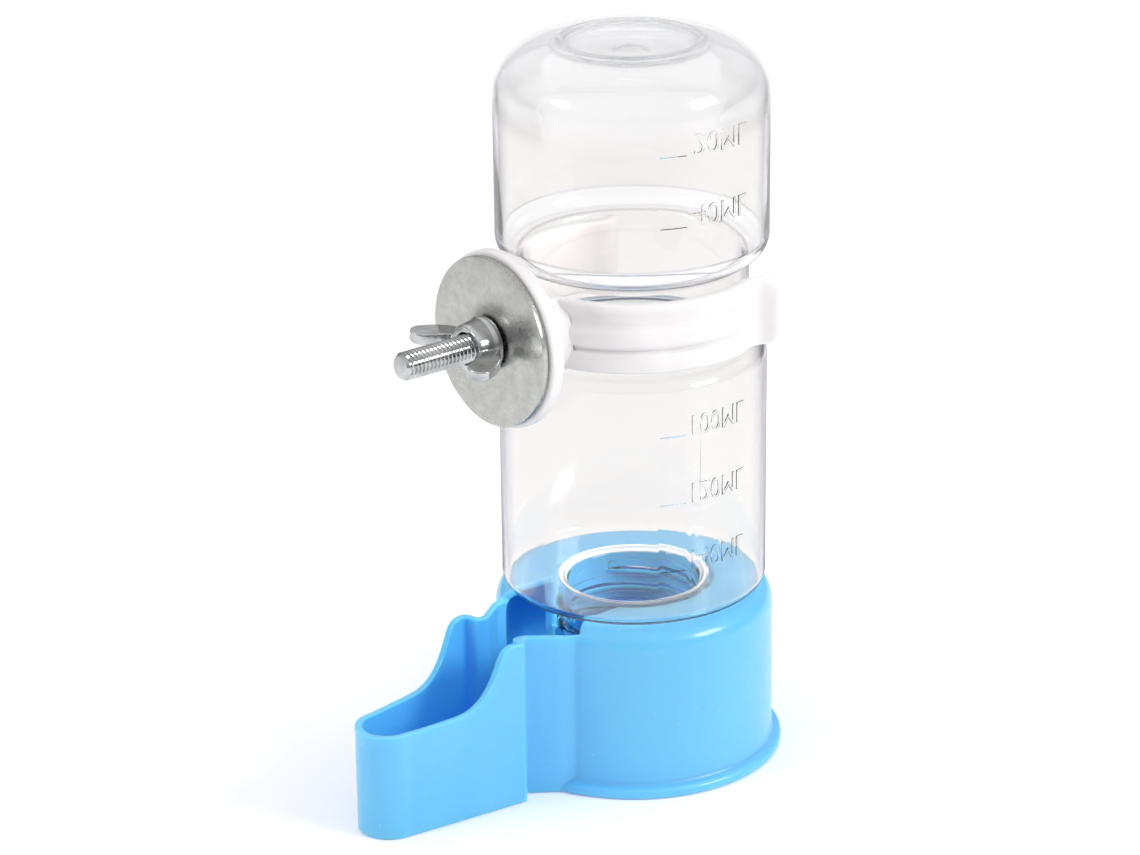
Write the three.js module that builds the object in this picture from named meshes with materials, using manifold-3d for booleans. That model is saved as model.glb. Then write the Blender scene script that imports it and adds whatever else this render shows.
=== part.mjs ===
// Clip-on drinking bottle for rabbits and small stock: an inverted clear bottle screwed into a
// drinker base with a trough, and a spring clip that bolts to the wire of a cage.
// Millimetres, +Z up. The origin is the centre of the base's underside. The trough and the
// clamping bolt both point along -Y, and the model is symmetric about the YZ plane apart from
// its screw threads and the turn of the wing nut.

import * as THREE from "three";
import { mergeVertices } from "three/addons/utils/BufferGeometryUtils.js";
import Module from "manifold-3d";

const wasm = await Module();
wasm.setup();

// ---- driving dimensions -------------------------------------------------------------------

const GAP = 0.3; // play left between neighbouring pieces
const BEYOND = 5; // how far a cutting body reaches past what it cuts

// Bottle, standing on its neck
const BODY_R = 23.5; // upper body
const LOWER_R = 23.2; // lower body
const WAIST_R = 20.0; // groove that the clip snaps into
const BOTTLE_WALL = 0.8;
const BOTTLE_TOP_Z = 129.8;
const CROWN_R = 9; // rounding between the side and the bottle's bottom, which is on top here
const CROWN_DROP = 0.5; // from the standing ring to the start of that rounding
// The bottle's bottom, as (radius, depth below the ring that it stands on when it is filled)
const PUNT = [
  [0, 2.4],
  [7.5, 2.2],
  [10.8, 1.5],
  [11.6, 0.3],
  [12.2, 0],
  [12.9, 0.4],
];
const UPPER_CORNER_R = 4.0;
const UPPER_CORNER_Z = 95.6;
const UPPER_CORNER_SWEEP = 70; // degrees
const LOWER_CORNER_R = 2.5;
const LOWER_CORNER_Z = 73.9;
const LOWER_CORNER_SWEEP = 85;
const SHOULDER_CORNER_R = 2;
const MOUTH_Z = 14;
const NECK_R = 12.5;
const NECK_BORE_R = 11.4;
const NECK_ROOT_FILLET = 1.0;
const BORE_FILLET = 1.2;
const BORE_FILLET_DROP = 0.4; // below the shoulder's outer face

// Neck thread, 8 turns to the inch
const PITCH = 3.175;
const NECK_RIB = { root: 12.2, crest: 13.7, rootHalf: 1.0, crestHalf: 0.6 };
const NECK_RIB_TURNS = 2.5;
const NECK_RIB_TOP_Z = 28.6;
const NECK_RIB_TOP_ANGLE = 162;
const COLLAR_RIB = { root: 14.6, crest: 12.95, rootHalf: 0.5, crestHalf: 0.25 };
const COLLAR_RIB_TURNS = 2;

// Drinker base
const BASE_R = 24.6;
const BASE_WALL = 1.3;
const ROOF_Z = 31;
const ROOF_T = 1.4;
const DOME_R = 4;
const FLANGE_R = 26.3;
const FLANGE_T = 1.9;
const FLANGE_CORNER = 0.5;
const FLANGE_FILLET = 0.3; // into the wall
const COLLAR_BORE_R = 14.1;
const COLLAR_R = 15.7;
const COLLAR_FOOT_Z = 19.5;
const CHANNEL_HALF = 8.9; // slot in the roof that joins the neck to the trough
const CHANNEL_FRONT = 23.6;
const FLOOR_T = 1.5;

// Trough, measured along -Y from the bottle's axis
const TROUGH_TIP_R = 5.68;
const TROUGH_TIP_CENTRE = 54.75;
const TROUGH_ROOT_HALF = 8.45;
const TROUGH_ROOT = 31.0;
// The throat's wall, from inside the chamber to the step where the trough begins, as
// (half-width, distance)
const THROAT_WALL = [
  [12.8, 18],
  [10.7, 22.2],
  [9.4, 24.7],
  [6.0, 29.3],
  [6.0, 30.3],
];
const RIM_Z = 19.2;
const SPOUT_Z = 30.2;
const RIM_SLOPE_END = 43.5; // the rim is nearly level from the tip to here
// The rim's two curves up to the throat, as Bezier points (distance, height above RIM_Z)
const RIM_RISE = [39.5, 1.4, 38, 4.3, 36.3, 8.4];
const RIM_CREST = [35.7, 10.2, 35, SPOUT_Z - RIM_Z, 33.2, SPOUT_Z - RIM_Z];

// Clip
const CLIP_BORE_R = 20.4;
const CLIP_BOTTOM_Z = 77.7;
const CLIP_TOP_Z = 89.8;
// The band's outer face, as (radius, z): lower flat and groove, then the hollow and top bead.
// A rounded rib lies between the two.
const BAND_FOOT = [
  [22.8, 77.7],
  [23.15, 78.1],
  [23.05, 81.0],
  [22.2, 81.4],
  [22.5, 82.2],
];
const BAND_TOP = [
  [22.3, 86.2],
  [22.25, 87.4],
  [22.65, 88.3],
  [22.6, 89.3],
  [22.1, 89.8],
];
const BAND_RIB = { centre: 21.8, z: 83.9, radius: 1.55, half: 60 };
const CLIP_HALF_ANGLE = 112; // of the plain band, each way from -Y; the lips go on from there
const LIP_R = 3.4; // bend of a lip, on its outer side
const LIP_T = 1.9;
const LIP_SWEEP = 62;
const LIP_END = 2.1; // straight stretch after the bend
const LIP_CORNER_R = 2.2;
const LIP_SET_OUT = 0.1; // of the lip's inner face from the band's bore
const LIP_TAIL = 0.8; // how far a lip starts inside the band
const BOSS_R = 8.5;
const BOSS_BACK = 21;
const PAD_R = 15.4;
const PAD_BACK = 27.0;
const PAD_T = 3.0;
const PAD_EDGE_R = 1.0;
const CLAMP_Z = 82.7; // height of the bolt

// M5 hardware
const BOLT_R = 2.4;
const BOLT_TIP = 50;
const BOLT_CHAMFER = 0.6;
const HEAD_AF = 8;
const HEAD_T = 3.5;
const HEAD_INNER = 20.75;
const HEAD_FACE_R = 4.2;
const HEAD_CHAMFER = 0.4;
const WASHER_R = 14.75;
const WASHER_T = 1.2;
const WASHER_EDGE = 0.3;
const HUB_FOOT_R = 4.9;
const HUB_FOOT_H = 1.2;
const HUB_TOP_R = 4.0;
const HUB_H = 4.8;
const WING_T = 2.0;
// A wing's outline, as (distance from the bolt, height above the washer)
const WING_ROOT = [
  [3, 0.5],
  [5.6, 1.5],
];
const WING_TIP = { x: 7.9, z: 7.7, radius: 2.1, from: -37, to: 140 };
const WING_OUTER_CURVE = [8.4, 3.4, 9.6, 6.4];
const WING_INNER_CURVE = [5.2, 6.6, 3.9, HUB_H - 0.1];
const WING_SLANT = -8; // degrees, how the wings stand off level

// Facets round a circle
const ROUND = 48;
const CLIP_ROUND = 60;
const PAD_ROUND = 40;
const BOTTLE_ROUND = 36;
const SMALL_ROUND = 24;
const RIB_STEPS = 24;
const CURVE_STEPS = 6;
const HEX = 6;

// ---- tools --------------------------------------------------------------------------------

const rad = THREE.MathUtils.degToRad;
const point = (x, y) => new THREE.Vector2(x, y);
const outline = (table) => table.map(([x, y]) => point(x, y));
const acrossCorners = (flats) => flats / Math.cos(Math.PI / HEX);

// Points on an arc, both ends included.
function arc(cx, cy, radius, from, to, steps) {
  const points = [];
  for (let i = 0; i <= steps; i++) {
    const angle = rad(from + ((to - from) * i) / steps);
    points.push(point(cx + radius * Math.cos(angle), cy + radius * Math.sin(angle)));
  }
  return points;
}

// An outline set in by a distance, its corners kept sharp. The outline runs anticlockwise.
function setIn(points, distance) {
  const edges = points.map((start, i) => {
    const along = points[(i + 1) % points.length].clone().sub(start).normalize();
    const inwards = point(-along.y, along.x);
    return { at: start.clone().addScaledVector(inwards, distance), along };
  });
  return edges.map((edge, i) => {
    const before = edges.at(i - 1);
    const reach = edge.at.clone().sub(before.at).cross(edge.along) / before.along.cross(edge.along);
    return before.at.clone().addScaledVector(before.along, reach);
  });
}

// Faces point out whichever way round the outline was drawn.
function facingOut(geometry) {
  const plain = geometry.clone();
  plain.deleteAttribute("normal");
  plain.deleteAttribute("uv");
  const merged = mergeVertices(plain, 1e-4);
  const at = merged.attributes.position;
  const [a, b, c] = [new THREE.Vector3(), new THREE.Vector3(), new THREE.Vector3()];
  const triangles = [];
  let volume = 0;
  for (let i = 0; i < merged.index.count; i += 3) {
    const [p, q, r] = [0, 1, 2].map((k) => merged.index.getX(i + k));
    if (p === q || q === r || r === p) continue;
    triangles.push([p, q, r]);
    a.fromBufferAttribute(at, p);
    b.fromBufferAttribute(at, q);
    c.fromBufferAttribute(at, r);
    volume += a.dot(b.cross(c));
  }
  const order = volume < 0 ? ([p, q, r]) => [p, r, q] : (t) => t;
  merged.setIndex(triangles.flatMap(order));
  merged.computeVertexNormals();
  return merged;
}

// A body of revolution about Z from (radius, z) points.
function turned(profile, segments = ROUND) {
  return facingOut(new THREE.LatheGeometry(profile, segments).rotateX(Math.PI / 2));
}

// A closed ring: the profile doesn't touch the axis, so it is closed on itself.
function turnedRing(profile, segments = ROUND) {
  return turned([...profile, profile[0].clone()], segments);
}

// A flat outline made into a plate, upwards from the plane it is drawn in.
function plate(shape, depth) {
  return new THREE.ExtrudeGeometry(shape, { depth, bevelEnabled: false, curveSegments: CURVE_STEPS });
}

// A plan outline stood up between two heights.
function standing(shape, z0, z1) {
  return facingOut(plate(shape, z1 - z0).translate(0, 0, z0));
}

function solid(geometry) {
  const at = geometry.attributes.position.array;
  const triVerts = new Uint32Array(geometry.index.array);
  return new wasm.Manifold(new wasm.Mesh({ numProp: 3, vertProperties: new Float32Array(at), triVerts }));
}

function geometryOf(body) {
  const mesh = body.getMesh();
  const geometry = new THREE.BufferGeometry();
  geometry.setAttribute("position", new THREE.BufferAttribute(mesh.vertProperties, 3));
  geometry.setIndex(new THREE.BufferAttribute(mesh.triVerts, 1));
  geometry.computeVertexNormals();
  return geometry;
}

function piece(name, geometry, material) {
  const mesh = new THREE.Mesh(geometry, new THREE.MeshStandardMaterial(material));
  mesh.name = name;
  return mesh;
}

// A right-hand thread rib: a trapezoid bar wound upwards from a start angle and height.
function threadRib(rib, turns, startAngle, startZ) {
  const section = new THREE.Shape([
    point(rib.root, -rib.rootHalf),
    point(rib.crest, -rib.crestHalf),
    point(rib.crest, rib.crestHalf),
    point(rib.root, rib.rootHalf),
  ]);
  const steps = Math.round(turns * RIB_STEPS);
  const bar = new THREE.ExtrudeGeometry(section, { depth: 1, steps, bevelEnabled: false });
  const at = bar.attributes.position;
  for (let i = 0; i < at.count; i++) {
    const [radius, rise, share] = [at.getX(i), at.getY(i), at.getZ(i)];
    const angle = rad(startAngle + 360 * turns * share);
    const z = startZ + rise + PITCH * turns * share;
    at.setXYZ(i, radius * Math.cos(angle), radius * Math.sin(angle), z);
  }
  return facingOut(bar);
}

// ---- bottle -------------------------------------------------------------------------------

// The bend from a body's side into the waist: a convex corner, then a hollow one. "up" is +1
// where the waist lies above the body and -1 where it lies below. Drawn from body to waist.
function waistBend(bodyR, cornerR, cornerZ, sweep, up, inset) {
  const centreR = bodyR - cornerR;
  const reach = bodyR - cornerR * (1 - Math.cos(rad(sweep)));
  const hollowR = (reach - WAIST_R) / (1 - Math.cos(rad(sweep)));
  const hollowZ = cornerZ + up * (cornerR + hollowR) * Math.sin(rad(sweep));
  const corner = arc(centreR, 0, cornerR - inset, 0, sweep, 3);
  const hollow = arc(WAIST_R + hollowR, 0, hollowR + inset, 180 - sweep, 180, 2);
  const lifted = (points, z, turn) => points.map((p) => point(p.x, z + turn * p.y));
  return [...lifted(corner, cornerZ, up), ...lifted(hollow, hollowZ, -up)];
}

// The wall's outer face with inset 0 and its inner face with the wall's thickness, from the top
// of the axis down to the shoulder's corner.
function bottleFace(inset) {
  const crownZ = BOTTLE_TOP_Z - CROWN_DROP;
  const upper = waistBend(BODY_R, UPPER_CORNER_R, UPPER_CORNER_Z, UPPER_CORNER_SWEEP, -1, inset);
  const lower = waistBend(LOWER_R, LOWER_CORNER_R, LOWER_CORNER_Z, LOWER_CORNER_SWEEP, 1, inset);
  const shoulderZ = ROOF_Z + GAP + SHOULDER_CORNER_R;
  return [
    ...PUNT.map(([radius, depth]) => point(radius, BOTTLE_TOP_Z - depth - inset)),
    ...arc(BODY_R - CROWN_R, crownZ - CROWN_R, CROWN_R - inset, 90, 0, 6),
    ...upper,
    ...lower.reverse(),
    ...arc(LOWER_R - SHOULDER_CORNER_R, shoulderZ, SHOULDER_CORNER_R - inset, 0, -90, 3),
  ];
}

function bottle() {
  const shoulderZ = ROOF_Z + GAP;
  const profile = [
    ...bottleFace(0),
    ...arc(NECK_R + NECK_ROOT_FILLET, shoulderZ - NECK_ROOT_FILLET, NECK_ROOT_FILLET, 90, 180, 2),
    point(NECK_R, MOUTH_Z),
    point(NECK_BORE_R, MOUTH_Z),
    ...arc(NECK_BORE_R + BORE_FILLET, shoulderZ - BORE_FILLET_DROP, BORE_FILLET, 180, 90, 3),
    ...bottleFace(BOTTLE_WALL).reverse(),
  ];
  const rib = threadRib(
    NECK_RIB,
    NECK_RIB_TURNS,
    NECK_RIB_TOP_ANGLE - 360 * NECK_RIB_TURNS,
    NECK_RIB_TOP_Z - PITCH * NECK_RIB_TURNS,
  );
  return geometryOf(solid(turned(profile, BOTTLE_ROUND)).add(solid(rib)));
}

// ---- drinker base -------------------------------------------------------------------------

// Plan of the trough and its throat, set in from the outer faces.
function troughPlan(inset) {
  const taper = Math.atan((TROUGH_ROOT_HALF - TROUGH_TIP_R) / (TROUGH_TIP_CENTRE - TROUGH_ROOT));
  const sweep = 90 - THREE.MathUtils.radToDeg(taper);
  const side = [...THROAT_WALL, [TROUGH_ROOT_HALF, TROUGH_ROOT]];
  const left = side.map(([half, distance]) => point(-half, -distance));
  const right = side.map(([half, distance]) => point(half, -distance)).reverse();
  const tip = arc(0, -TROUGH_TIP_CENTRE, TROUGH_TIP_R, -90 - sweep, sweep - 90, 10);
  return new THREE.Shape(setIn([...left, ...tip, ...right], inset));
}

// The room between the walls of the trough and throat, no wider than the channel, less some play.
function troughRoom(play, z0, z1) {
  const width = 2 * (CHANNEL_HALF - play);
  const limit = new THREE.BoxGeometry(width, 4 * TROUGH_TIP_CENTRE, 4 * ROOF_Z);
  return solid(standing(troughPlan(BASE_WALL + play), z0, z1)).intersect(solid(facingOut(limit)));
}

// Side view of the trough and throat: (distance along -Y, height). The rim is level along the
// trough and sweeps up in an S to the throat.
function spoutSide() {
  const side = new THREE.Shape();
  const end = TROUGH_TIP_CENTRE + TROUGH_TIP_R + BEYOND;
  const raised = (curve) => curve.map((value, i) => (i % 2 ? RIM_Z + value : value));
  side.moveTo(0, 0);
  side.lineTo(end, 0);
  side.lineTo(end, RIM_Z - 0.1);
  side.lineTo(RIM_SLOPE_END, RIM_Z + 0.4);
  side.bezierCurveTo(...raised(RIM_RISE));
  side.bezierCurveTo(...raised(RIM_CREST));
  side.lineTo(0, SPOUT_Z);
  return side;
}

function channelPlan() {
  return new THREE.Shape([
    point(CHANNEL_HALF, 0),
    point(-CHANNEL_HALF, 0),
    point(-CHANNEL_HALF, -CHANNEL_FRONT),
    point(CHANNEL_HALF, -CHANNEL_FRONT),
  ]);
}

function baseHousing() {
  const shell = turned([
    point(0, 0),
    point(FLANGE_R, 0),
    point(FLANGE_R, FLANGE_T - FLANGE_CORNER),
    point(FLANGE_R - FLANGE_CORNER, FLANGE_T),
    point(BASE_R + FLANGE_FILLET, FLANGE_T),
    point(BASE_R, FLANGE_T + FLANGE_FILLET),
    ...arc(BASE_R - DOME_R, ROOF_Z - DOME_R, DOME_R, 0, 90, 6),
    point(0, ROOF_Z),
  ]);
  const innerR = BASE_R - BASE_WALL;
  const innerDome = DOME_R - BASE_WALL;
  const chamber = turned([
    point(0, -BEYOND),
    point(innerR, -BEYOND),
    ...arc(innerR - innerDome, ROOF_Z - ROOF_T - innerDome, innerDome, 0, 90, 3),
    point(0, ROOF_Z - ROOF_T),
  ]);
  const spoutBody = solid(standing(troughPlan(0), 0, ROOF_Z));
  const side = plate(spoutSide(), 2 * BASE_R).translate(0, 0, -BASE_R);
  const sideCut = solid(facingOut(side.rotateX(Math.PI / 2).rotateZ(-Math.PI / 2)));
  const trough = troughRoom(0, -BEYOND, ROOF_Z + BEYOND);
  const channel = solid(standing(channelPlan(), -BEYOND, ROOF_Z + BEYOND));
  const collar = turnedRing([
    point(COLLAR_BORE_R, COLLAR_FOOT_Z),
    point(COLLAR_R, COLLAR_FOOT_Z),
    point(COLLAR_R, ROOF_Z - ROOF_T / 2),
    point(COLLAR_BORE_R, ROOF_Z - ROOF_T / 2),
  ]);
  const bore = turned([
    point(0, ROOF_Z - ROOF_T - 1),
    point(COLLAR_BORE_R, ROOF_Z - ROOF_T - 1),
    point(COLLAR_BORE_R, ROOF_Z + BEYOND),
    point(0, ROOF_Z + BEYOND),
  ]);
  const ribTopZ = NECK_RIB_TOP_Z - PITCH / 2;
  const rib = threadRib(
    COLLAR_RIB,
    COLLAR_RIB_TURNS,
    NECK_RIB_TOP_ANGLE - 360 * COLLAR_RIB_TURNS,
    ribTopZ - PITCH * COLLAR_RIB_TURNS,
  );
  const housing = solid(shell)
    .add(spoutBody.intersect(sideCut))
    .subtract(solid(chamber))
    .add(solid(collar))
    .subtract(solid(bore))
    .add(solid(rib))
    .subtract(trough)
    .subtract(channel);
  return geometryOf(housing);
}

function baseFloor() {
  const round = turned([
    point(0, 0),
    point(BASE_R - BASE_WALL - GAP, 0),
    point(BASE_R - BASE_WALL - GAP, FLOOR_T),
    point(0, FLOOR_T),
  ]);
  return geometryOf(solid(round).add(troughRoom(GAP, 0, FLOOR_T)));
}

// ---- clip ---------------------------------------------------------------------------------

// Section of the whole band.
function bandSection() {
  return [
    point(CLIP_BORE_R, CLIP_BOTTOM_Z),
    ...outline(BAND_FOOT),
    ...arc(BAND_RIB.centre, BAND_RIB.z, BAND_RIB.radius, -BAND_RIB.half, BAND_RIB.half, 4),
    ...outline(BAND_TOP),
    point(CLIP_BORE_R, CLIP_TOP_Z),
  ];
}

// Plan of one end lip: the band's end bends away from the bottle. It is drawn for the band's
// end at angle 0 with the band arriving from negative angles, and starts a little inside it.
function lipPlan() {
  const mid = CLIP_BORE_R + LIP_SET_OUT + LIP_T;
  const centre = point(mid + LIP_R, 0);
  const inner = arc(centre.x, centre.y, LIP_R + LIP_T, 180, 180 - LIP_SWEEP, 6);
  const outer = arc(centre.x, centre.y, LIP_R, 180 - LIP_SWEEP, 180, 6);
  const onwards = point(Math.sin(rad(LIP_SWEEP)), Math.cos(rad(LIP_SWEEP))).multiplyScalar(LIP_END);
  inner.push(inner.at(-1).clone().add(onwards));
  outer.unshift(outer[0].clone().add(onwards));
  return new THREE.Shape([point(inner[0].x, -LIP_TAIL), ...inner, ...outer, point(mid, -LIP_TAIL)]);
}

function lips() {
  const lip = standing(lipPlan(), CLIP_BOTTOM_Z, CLIP_TOP_Z);
  const reach = (LIP_R + LIP_T) * Math.sin(rad(LIP_SWEEP)) + LIP_END * Math.cos(rad(LIP_SWEEP));
  const corner = LIP_CORNER_R;
  const card = new THREE.Shape([
    point(-BEYOND, CLIP_BOTTOM_Z),
    ...arc(reach - corner, CLIP_BOTTOM_Z + corner, corner, -90, 0, 4),
    ...arc(reach - corner, CLIP_TOP_Z - corner, corner, 0, 90, 4),
    point(-BEYOND, CLIP_TOP_Z),
  ]);
  const rounding = facingOut(plate(card, 2 * BODY_R).rotateX(Math.PI / 2).rotateZ(Math.PI / 2));
  const one = geometryOf(solid(lip).intersect(solid(rounding)));
  const left = one.clone().rotateZ(rad(CLIP_HALF_ANGLE - 90));
  const right = facingOut(left.clone().scale(-1, 1, 1));
  return solid(left).add(solid(right));
}

// A bar along the bolt's axis, from one distance in front of the bottle's axis to another.
function alongBolt(profile, segments = SMALL_ROUND) {
  return solid(turned(profile, segments).rotateX(Math.PI / 2).translate(0, 0, CLAMP_Z));
}

function clip() {
  const band = solid(turnedRing(bandSection(), CLIP_ROUND));
  const far = 2 * BODY_R;
  const half = rad(CLIP_HALF_ANGLE - 90);
  const opening = new THREE.Shape([
    point(0, 0),
    point(far * Math.cos(half), far * Math.sin(half)),
    point(0, far * 2),
    point(-far * Math.cos(half), far * Math.sin(half)),
  ]);
  const wedge = solid(standing(opening, CLIP_BOTTOM_Z - BEYOND, CLIP_TOP_Z + BEYOND));
  const boss = alongBolt([
    point(0, BOSS_BACK),
    point(BOSS_R, BOSS_BACK),
    point(BOSS_R, PAD_BACK + PAD_EDGE_R),
    point(0, PAD_BACK + PAD_EDGE_R),
  ]);
  const front = PAD_BACK + PAD_T;
  const pad = alongBolt(
    [
      point(0, PAD_BACK),
      ...arc(PAD_R - PAD_EDGE_R, PAD_BACK + PAD_EDGE_R, PAD_EDGE_R, -90, 0, 3),
      ...arc(PAD_R - PAD_EDGE_R / 2, front - PAD_EDGE_R / 2, PAD_EDGE_R / 2, 0, 90, 2),
      point(0, front),
    ],
    PAD_ROUND,
  );
  const pocketR = acrossCorners(HEAD_AF / 2 + GAP);
  const seat = HEAD_INNER + HEAD_T + GAP;
  const inside = HEAD_INNER - 2 * BEYOND;
  const pocket = alongBolt(
    [point(0, inside), point(pocketR, inside), point(pocketR, seat), point(0, seat)],
    HEX,
  );
  const hole = alongBolt([
    point(0, seat - GAP),
    point(BOLT_R + GAP, seat - GAP),
    point(BOLT_R + GAP, front + BEYOND),
    point(0, front + BEYOND),
  ]);
  const bodySpaceR = BODY_R + 2 * GAP;
  const bottleSpace = turned(
    [
      point(0, CLIP_BOTTOM_Z - 2 * BEYOND),
      point(bodySpaceR, CLIP_BOTTOM_Z - 2 * BEYOND),
      point(bodySpaceR, CLIP_BOTTOM_Z),
      point(CLIP_BORE_R, CLIP_BOTTOM_Z),
      point(CLIP_BORE_R, CLIP_TOP_Z),
      point(bodySpaceR, CLIP_TOP_Z),
      point(bodySpaceR, CLIP_TOP_Z + 2 * BEYOND),
      point(0, CLIP_TOP_Z + 2 * BEYOND),
    ],
    CLIP_ROUND,
  );
  const body = band
    .subtract(wedge)
    .add(lips())
    .add(boss)
    .add(pad)
    .subtract(solid(bottleSpace))
    .subtract(pocket)
    .subtract(hole);
  return geometryOf(body);
}

// ---- M5 hardware: local +Z is the way the bolt points -----------------------------------------

function bolt() {
  const cornerR = acrossCorners(HEAD_AF / 2);
  const head = turned(
    [
      point(0, HEAD_INNER),
      point(HEAD_FACE_R, HEAD_INNER),
      point(cornerR, HEAD_INNER + HEAD_CHAMFER),
      point(cornerR, HEAD_INNER + HEAD_T),
      point(0, HEAD_INNER + HEAD_T),
    ],
    HEX,
  );
  const shank = turned(
    [
      point(0, HEAD_INNER + HEAD_CHAMFER),
      point(BOLT_R, HEAD_INNER + HEAD_CHAMFER),
      point(BOLT_R, BOLT_TIP - BOLT_CHAMFER),
      point(BOLT_R - BOLT_CHAMFER, BOLT_TIP),
      point(0, BOLT_TIP),
    ],
    SMALL_ROUND,
  );
  return geometryOf(solid(head).add(solid(shank)));
}

function washer() {
  return turnedRing([
    point(BOLT_R + GAP, 0),
    point(WASHER_R - WASHER_EDGE, 0),
    point(WASHER_R, WASHER_EDGE),
    point(WASHER_R, WASHER_T),
    point(BOLT_R + GAP, WASHER_T),
  ]);
}

// One wing in its own plane.
function wingOutline() {
  const wing = new THREE.Shape(outline(WING_ROOT));
  wing.quadraticCurveTo(...WING_OUTER_CURVE);
  wing.absarc(WING_TIP.x, WING_TIP.z, WING_TIP.radius, rad(WING_TIP.from), rad(WING_TIP.to), false);
  wing.quadraticCurveTo(...WING_INNER_CURVE);
  wing.lineTo(WING_ROOT[0][0], WING_INNER_CURVE[3]);
  return wing;
}

function wingNut() {
  const hub = turned(
    [
      point(0, 0),
      point(HUB_FOOT_R, 0),
      point(HUB_FOOT_R, HUB_FOOT_H),
      point(HUB_TOP_R, HUB_H),
      point(0, HUB_H),
    ],
    SMALL_ROUND,
  );
  const boreR = BOLT_R + GAP;
  const bore = turned(
    [
      point(0, -BEYOND),
      point(boreR, -BEYOND),
      point(boreR, HUB_H + BEYOND),
      point(0, HUB_H + BEYOND),
    ],
    SMALL_ROUND,
  );
  const wing = facingOut(plate(wingOutline(), WING_T).translate(0, 0, -WING_T / 2).rotateX(Math.PI / 2));
  const other = facingOut(wing.clone().rotateZ(Math.PI));
  return geometryOf(solid(hub).add(solid(wing)).add(solid(other)).subtract(solid(bore)));
}

// ---- assembly -----------------------------------------------------------------------------

const BLUE = { color: 0x6fbdf7, roughness: 0.35, metalness: 0 };
const WHITE = { color: 0xf4f0f0, roughness: 0.45, metalness: 0 };
const CLEAR = { color: 0xf2f4f6, roughness: 0.08, metalness: 0, transparent: true, opacity: 0.3 };
const ZINC = { color: 0xb4b8b2, roughness: 0.38, metalness: 1 };
const NICKEL = { color: 0xd5d7d8, roughness: 0.18, metalness: 1 };

const drinker = new THREE.Group();
drinker.add(piece("base_housing", baseHousing(), BLUE));
drinker.add(piece("base_floor", baseFloor(), BLUE));

const clamp = new THREE.Group();
clamp.position.set(0, 0, CLAMP_Z);
clamp.rotation.x = Math.PI / 2;
clamp.add(piece("bolt", bolt(), NICKEL));
const washerMesh = piece("washer", washer(), ZINC);
washerMesh.position.z = PAD_BACK + PAD_T + GAP;
clamp.add(washerMesh);
const nutMesh = piece("wing_nut", wingNut(), NICKEL);
nutMesh.position.z = PAD_BACK + PAD_T + WASHER_T + 2 * GAP;
nutMesh.rotation.z = rad(WING_SLANT);
clamp.add(nutMesh);

const group = new THREE.Group();
group.add(drinker);
group.add(piece("bottle", bottle(), CLEAR));
group.add(piece("clip", clip(), WHITE));
group.add(clamp);

export default group;
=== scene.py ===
"""Looks of the clip-on drinking bottle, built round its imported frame. Blender 4.5.

Shapes are drawn in millimetres, in the frame's own axes, and brought to metres when they are
placed. The trough and the clamping bolt point along -Y and the bottle stands on +Z.
"""

import math

import bmesh
import bpy
from mathutils import Matrix, Vector

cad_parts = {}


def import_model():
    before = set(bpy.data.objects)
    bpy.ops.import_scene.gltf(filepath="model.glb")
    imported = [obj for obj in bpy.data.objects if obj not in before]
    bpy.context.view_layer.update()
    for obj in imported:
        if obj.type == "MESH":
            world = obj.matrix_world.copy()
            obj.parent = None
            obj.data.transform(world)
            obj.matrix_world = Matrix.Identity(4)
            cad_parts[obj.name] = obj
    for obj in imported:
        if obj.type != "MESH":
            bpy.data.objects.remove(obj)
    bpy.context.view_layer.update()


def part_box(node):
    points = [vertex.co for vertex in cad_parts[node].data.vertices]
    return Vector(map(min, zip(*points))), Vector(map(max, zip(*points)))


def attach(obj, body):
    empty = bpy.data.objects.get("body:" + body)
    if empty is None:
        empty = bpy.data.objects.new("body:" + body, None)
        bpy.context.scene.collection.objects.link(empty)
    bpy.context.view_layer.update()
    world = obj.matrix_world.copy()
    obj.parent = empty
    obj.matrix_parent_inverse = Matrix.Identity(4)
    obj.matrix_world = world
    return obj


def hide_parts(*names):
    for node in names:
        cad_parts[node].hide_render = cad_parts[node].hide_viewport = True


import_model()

MM = 0.001


def node_mm(node):
    """Lowest and highest corner of a CAD node, in millimetres."""
    low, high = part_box(node)
    return low / MM, high / MM


# ---- sizes in millimetres and degrees, from the frame where it has them ------------------------

HOUSING_LOW, HOUSING_HIGH = node_mm("base_housing")
FLOOR_HIGH = node_mm("base_floor")[1]
BOTTLE_LOW, BOTTLE_HIGH = node_mm("bottle")
CLIP_LOW = node_mm("clip")[0]
BOLT_LOW, BOLT_HIGH = node_mm("bolt")
WASHER_LOW, WASHER_HIGH = node_mm("washer")
NUT_HIGH = node_mm("wing_nut")[1]

GAP = 0.3
SMOOTH_ANGLE = 35
MERGE_DISTANCE = 1e-5

# The round chamber of the base, and the collar under its roof.
FLANGE_R = HOUSING_HIGH.x
ROOF_Z = HOUSING_HIGH.z
BASE_R = FLANGE_R - 1.7
WALL = 1.3
ROOF_T = 1.4
DOME_R = 4.0
HOLE_R = 14.1
COLLAR_R = 15.7
COLLAR_FOOT_Z = 19.5
COLLAR_TOP_Z = ROOF_Z - 0.6
CHANNEL_HALF = 8.9

# The trough. Distances are measured in front of the bottle's axis.
TIP_R = 5.68
TIP_CENTRE = -HOUSING_LOW.y - TIP_R
TROUGH_ROOT = 31.0
TROUGH_ROOT_HALF = 8.45
STEP_INNER = 32.3
STEP_INNER_EASE = 0.45
RIM_Z = 19.2
STEP_Z = 30.1
SPOUT_Z = 29.7

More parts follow.
